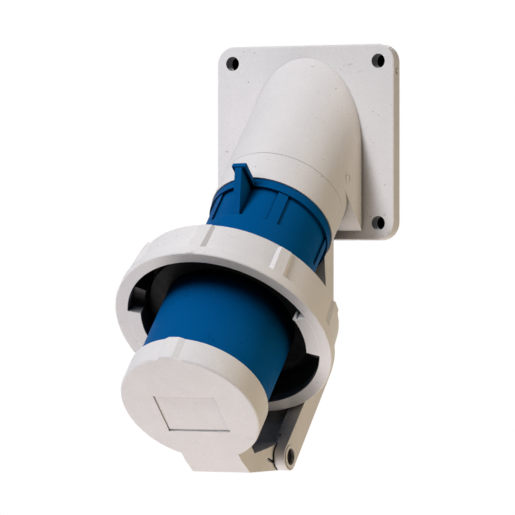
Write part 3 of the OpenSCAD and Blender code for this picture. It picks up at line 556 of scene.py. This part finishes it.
def lug_face(mesh_data, turn):
    """The front of one lug, level with the ring's front, with the round nose at its end."""
    corners = ((LUG_IN_R, LUG_BACK), (LUG_OUT_R, LUG_BACK),
               (LUG_OUT_R, LUG_FRONT_OUT), (LUG_IN_R, LUG_FRONT_IN))
    angles = [turn + LUG_FROM + (LUG_TO - LUG_FROM) * step / LUG_STEPS
              for step in range(LUG_STEPS + 1)]
    skin_rows(mesh_data, [[plug_point(radius, angle, along) for radius, along in corners]
                          for angle in angles])
    away = plug_point(NOSE_AT_R, turn + LUG_TO, 0) - AXIS_AT
    sides = [side * math.tau / NOSE_SIDES for side in range(NOSE_SIDES)]
    skin_rows(mesh_data, [[plug_point(NOSE_R, angle, along) + away for angle in sides]
                          for along in (LUG_BACK, LUG_FRONT_IN)])


class INLET_OT_flange_hood(bpy.types.Operator):
    """Finish the flange with its hood, and the nut inside it"""

    bl_idname = "inlet.flange_hood"
    bl_label = "Flange and Hood"

    def execute(self, context):
        dress("flange_moulding", "flange_hood")
        dress("grey_moulding", "lock_nut")
        return {"FINISHED"}


class INLET_OT_moulding_marks(bpy.types.Operator):
    """Add the gate mark on the hood's side and the nub on the flange's edge"""

    bl_idname = "inlet.moulding_marks"
    bl_label = "Moulding Marks"

    def execute(self, context):
        gate = bmesh.new()
        bmesh.ops.create_circle(gate, segments=GATE_SIDES, radius=GATE_WIRE)
        bmesh.ops.rotate(gate, verts=gate.verts, matrix=Matrix.Rotation(QUARTER_TURN, 3, "X"))
        bmesh.ops.translate(gate, verts=gate.verts, vec=(0, 0, GATE_R))
        bmesh.ops.spin(gate, geom=gate.verts[:] + gate.edges[:], axis=(1, 0, 0), cent=(0, 0, 0),
                       angle=math.tau, steps=GATE_STEPS, use_merge=True)
        moulded_piece("gate_mark", gate, GATE_AT)
        nub = bmesh.new()
        bmesh.ops.create_cone(nub, cap_ends=True, segments=NUB_SIDES, radius1=NUB_R,
                              radius2=NUB_R * NUB_TAPER, depth=2 * NUB_RISE)
        bmesh.ops.rotate(nub, verts=nub.verts, matrix=Matrix.Rotation(QUARTER_TURN, 3, "Y"))
        moulded_piece("edge_nub", nub, NUB_AT)
        return {"FINISHED"}


class INLET_OT_lid_bracket(bpy.types.Operator):
    """Finish the collar with its forked arm"""

    bl_idname = "inlet.lid_bracket"
    bl_label = "Collar and Arm"

    def execute(self, context):
        dress("grey_moulding", "lid_bracket")
        return {"FINISHED"}


class INLET_OT_inlet_body(bpy.types.Operator):
    """Finish the blue body with its pin shroud"""

    bl_idname = "inlet.inlet_body"
    bl_label = "Body and Shroud"

    def execute(self, context):
        dress("blue_moulding", "inlet_body")
        return {"FINISHED"}


class INLET_OT_bayonet_ring(bpy.types.Operator):
    """Finish the bayonet ring and its retainer"""

    bl_idname = "inlet.bayonet_ring"
    bl_label = "Bayonet Ring"

    def execute(self, context):
        dress("ring_moulding", "bayonet_ring")
        dress("insert_moulding", "ring_retainer")
        return {"FINISHED"}


class INLET_OT_lug_faces(bpy.types.Operator):
    """Bring the fronts of the ring's two lugs level with the ring's front"""

    bl_idname = "inlet.lug_faces"
    bl_label = "Lug Faces"

    def execute(self, context):
        faces = bmesh.new()
        for turn in (0, math.pi):
            lug_face(faces, turn)
        bmesh.ops.recalc_face_normals(faces, faces=faces.faces)
        moulded_piece("lug_faces", faces, body="ring", material="ring_moulding")
        return {"FINISHED"}


class INLET_OT_lid(bpy.types.Operator):
    """Finish the hinged lid"""

    bl_idname = "inlet.lid"
    bl_label = "Lid"

    def execute(self, context):
        dress("lid_moulding", "lid")
        return {"FINISHED"}


class INLET_OT_seals(bpy.types.Operator):
    """Finish the rubber seals"""

    bl_idname = "inlet.seals"
    bl_label = "Seals"

    def execute(self, context):
        dress("seal_rubber", "flange_gasket", "neck_seal", "rim_seal", "coupling_seal", "lid_seal")
        return {"FINISHED"}


class INLET_OT_contacts(bpy.types.Operator):
    """Finish the insert and its contact pins"""

    bl_idname = "inlet.contacts"
    bl_label = "Insert and Contacts"

    def execute(self, context):
        dress("insert_moulding", "contact_carrier", "carrier_cover")
        dress("contact_brass", "line_pin", "neutral_pin", "earth_pin", "pilot_pin")
        return {"FINISHED"}


class INLET_OT_steelwork(bpy.types.Operator):
    """Finish the screws, the hinge pin with its clip, and the spring"""

    bl_idname = "inlet.steelwork"
    bl_label = "Screws, Pin and Spring"

    def execute(self, context):
        dress("bright_steel", "terminal_screws", "carrier_screws", "lid_spring")
        dress("dark_steel", "hinge_pin", "hinge_clip")
        return {"FINISHED"}


# Stage

SENSOR_WIDTH = 36
FAR_CLIP = 20
FLOOR_SIDES = 96
FLOOR_TONES = ((0.86, 0.86, 0.85, 1), (0.9, 0.9, 0.89, 1))
FLOOR_PATCHES = 0.2
FLOOR_ROUGH = 0.8
FLOOR_GLOSS = 0.1
WHITE = (1, 1, 1, 1)
# The card of painted shade behind the flange: its margin inside the flange's outline, its gap and
# its dark tone
CARD_INSET = 5 * MM
CARD_GAP = 0.3 * MM
CARD_SHADE_TONE = (0.003, 0.003, 0.003, 1)
# Lamps: name, place, width, settings for power and colour, and whether the height is over the floor
LAMPS = (
    ("key_lamp", (-0.5, -1.2, 0.9), 0.4, "key_power", "day_colour", False),
    ("fill_lamp", (-0.3, -1.3, 0.6), 0.6, "fill_power", "day_colour", False),
    ("sky_lamp", (0.8, -0.1, 1.0), 0.6, "sky_power", "sky_colour", False),
    ("side_lamp", (0.45, -0.1, -0.27), 0.25, "side_power", "side_colour", False),
    ("low_lamp", (-0.4, -0.12, 0.1), 0.3, "low_power", "low_colour", True),
    ("table_lamp", (-0.3, -0.55, 0.1), 0.4, "table_power", "low_colour", True),
    ("back_lamp", (-0.5, 1.3, 0.6), 0.8, "back_power", "day_colour", False),
)


def add_camera(settings):
    lens = bpy.data.cameras.new("camera")
    lens.sensor_fit = "HORIZONTAL"
    lens.sensor_width = SENSOR_WIDTH
    lens.lens = settings.lens
    lens.clip_end = FAR_CLIP
    camera = bpy.data.objects.new("camera", lens)
    camera.location = settings.camera_at
    camera.rotation_euler = (QUARTER_TURN, 0, settings.azimuth)
    bpy.context.scene.collection.objects.link(camera)
    bpy.context.scene.camera = camera


def add_lamp(name, place, target, size, power, colour):
    """A square soft lamp that faces a target."""
    light = bpy.data.lights.new(name, "AREA")
    light.shape = "SQUARE"
    light.size = size
    light.energy = power
    light.color = colour
    lamp = bpy.data.objects.new(name, light)
    lamp.location = place
    lamp.visible_camera = False
    lamp.rotation_mode = "QUATERNION"
    lamp.rotation_quaternion = (target - place).to_track_quat("-Z", "Y")
    bpy.context.scene.collection.objects.link(lamp)


def floor_material():
    """A pale matt floor that a camera below it sees through."""
    material, tree = blank_material("pale_floor")
    tone = set_mix(tree, ranged(tree, noise(tree, FLOOR_PATCHES)), *FLOOR_TONES)
    top = new_node(
        tree, "ShaderNodeBsdfPrincipled",
        {"Roughness": FLOOR_ROUGH, "Specular IOR Level": FLOOR_GLOSS}, {"Base Color": tone})
    under = new_node(tree, "ShaderNodeBsdfTransparent")
    side = new_node(tree, "ShaderNodeNewGeometry")
    finish_material(tree, mix_shaders(tree, side.outputs["Backfacing"], top, under))
    return material


def add_floor(settings, middle):
    mesh = bpy.data.meshes.new("floor")
    disc = bmesh.new()
    bmesh.ops.create_circle(disc, cap_ends=True, segments=FLOOR_SIDES, radius=settings.floor_r)
    disc.to_mesh(mesh)
    disc.free()
    floor = bpy.data.objects.new("floor", mesh)
    floor.location = (middle.x, middle.y, settings.floor_at)
    mesh.materials.append(floor_material())
    bpy.context.scene.collection.objects.link(floor)


def studio_world(ambient):
    """Even light from all round; the camera and clear or shiny surfaces see a white room."""
    world = bpy.data.worlds.new("studio")
    bpy.context.scene.world = world
    world.use_nodes = True
    tree = world.node_tree
    tree.nodes.clear()
    path = new_node(tree, "ShaderNodeLightPath")
    seen = path.outputs["Is Camera Ray"]
    for ray in ("Is Glossy Ray", "Is Transmission Ray"):
        seen = greater(tree, seen, path.outputs[ray])
    light = new_node(tree, "ShaderNodeBackground", {"Color": WHITE, "Strength": ambient})
    white = new_node(tree, "ShaderNodeBackground", {"Color": WHITE, "Strength": 1.0})
    both = mix_shaders(tree, seen, light, white)
    output = new_node(tree, "ShaderNodeOutputWorld")
    tree.links.new(both.outputs[0], output.inputs["Surface"])


def painted_shade_material():
    """Painted shade for the camera only, and only from the front."""
    material, tree = blank_material("dark_card")
    path = new_node(tree, "ShaderNodeLightPath")
    side = new_node(tree, "ShaderNodeNewGeometry")
    seen = new_node(
        tree, "ShaderNodeMath", (),
        {0: path.outputs["Is Camera Ray"], 1: side.outputs["Backfacing"]},
        operation="SUBTRACT", use_clamp=True)
    clear = new_node(tree, "ShaderNodeBsdfTransparent")
    dark = new_node(tree, "ShaderNodeBsdfDiffuse", {"Color": CARD_SHADE_TONE})
    finish_material(tree, mix_shaders(tree, seen.outputs[0], clear, dark))
    return material


def hole_card():
    """A card of painted shade behind the flange, so that its empty holes look dark from the front.
    """
    low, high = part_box("flange_hood")
    left, right = low.x + CARD_INSET, high.x - CARD_INSET
    top, back = high.z - CARD_INSET, high.y + CARD_GAP
    mesh = bpy.data.meshes.new("hole_card")
    mesh.from_pydata(
        [(left, back, top), (left, back, -top), (right, back, -top), (right, back, top)],
        [], [(0, 1, 2, 3)])
    mesh.materials.append(painted_shade_material())
    shade_card_object = bpy.data.objects.new("hole_card", mesh)
    bpy.context.scene.collection.objects.link(shade_card_object)


class INLET_OT_stage(bpy.types.Operator):
    """Set up the camera, the floor and the studio light"""

    bl_idname = "inlet.stage"
    bl_label = "Stage"

    def execute(self, context):
        settings = stage_settings()
        context.scene.view_settings.view_transform = "Standard"
        middle = (CAD_BOX[0] + CAD_BOX[1]) / 2
        add_camera(settings)
        add_floor(settings, middle)
        studio_world(settings.ambient)
        for name, place, size, power, colour, over_floor in LAMPS:
            base = Vector((0, 0, settings.floor_at if over_floor else 0))
            add_lamp(name, Vector(place) + base, middle, size,
                     getattr(settings, power), getattr(settings, colour))
        # Painted shade behind the flange's fixing holes
        hole_card()
        return {"FINISHED"}


class INLET_PT_tools(bpy.types.Panel):
    """The inlet's pieces, finishes and stage"""

    bl_idname = "INLET_PT_tools"
    bl_label = "Angled Inlet"
    bl_space_type = "VIEW_3D"
    bl_region_type = "UI"
    bl_category = "Inlet"

    def draw(self, context):
        column = self.layout.column()
        for settings in (context.scene.inlet_finishes, context.scene.inlet_stage):
            for name in settings.__annotations__:
                column.prop(settings, name)
        for operator in OPERATORS:
            column.operator(operator.bl_idname)


OPERATORS = (
    INLET_OT_flange_hood,
    INLET_OT_moulding_marks,
    INLET_OT_lid_bracket,
    INLET_OT_inlet_body,
    INLET_OT_bayonet_ring,
    INLET_OT_lug_faces,
    INLET_OT_lid,
    INLET_OT_seals,
    INLET_OT_contacts,
    INLET_OT_steelwork,
    INLET_OT_stage,
)
CLASSES = (InletFinishes, InletStage, *OPERATORS, INLET_PT_tools)


def register():
    for cls in CLASSES:
        bpy.utils.register_class(cls)
    bpy.types.Scene.inlet_finishes = PointerProperty(type=InletFinishes)
    bpy.types.Scene.inlet_stage = PointerProperty(type=InletStage)


def unregister():
    del bpy.types.Scene.inlet_stage
    del bpy.types.Scene.inlet_finishes
    for cls in reversed(CLASSES):
        bpy.utils.unregister_class(cls)


def main():
    register()
    bpy.ops.inlet.flange_hood()
    bpy.ops.inlet.moulding_marks()
    bpy.ops.inlet.lid_bracket()
    bpy.ops.inlet.inlet_body()
    bpy.ops.inlet.bayonet_ring()
    bpy.ops.inlet.lug_faces()
    bpy.ops.inlet.lid()
    bpy.ops.inlet.seals()
    bpy.ops.inlet.contacts()
    bpy.ops.inlet.steelwork()
    bpy.ops.inlet.stage()


if __name__ == "__main__":
    main()
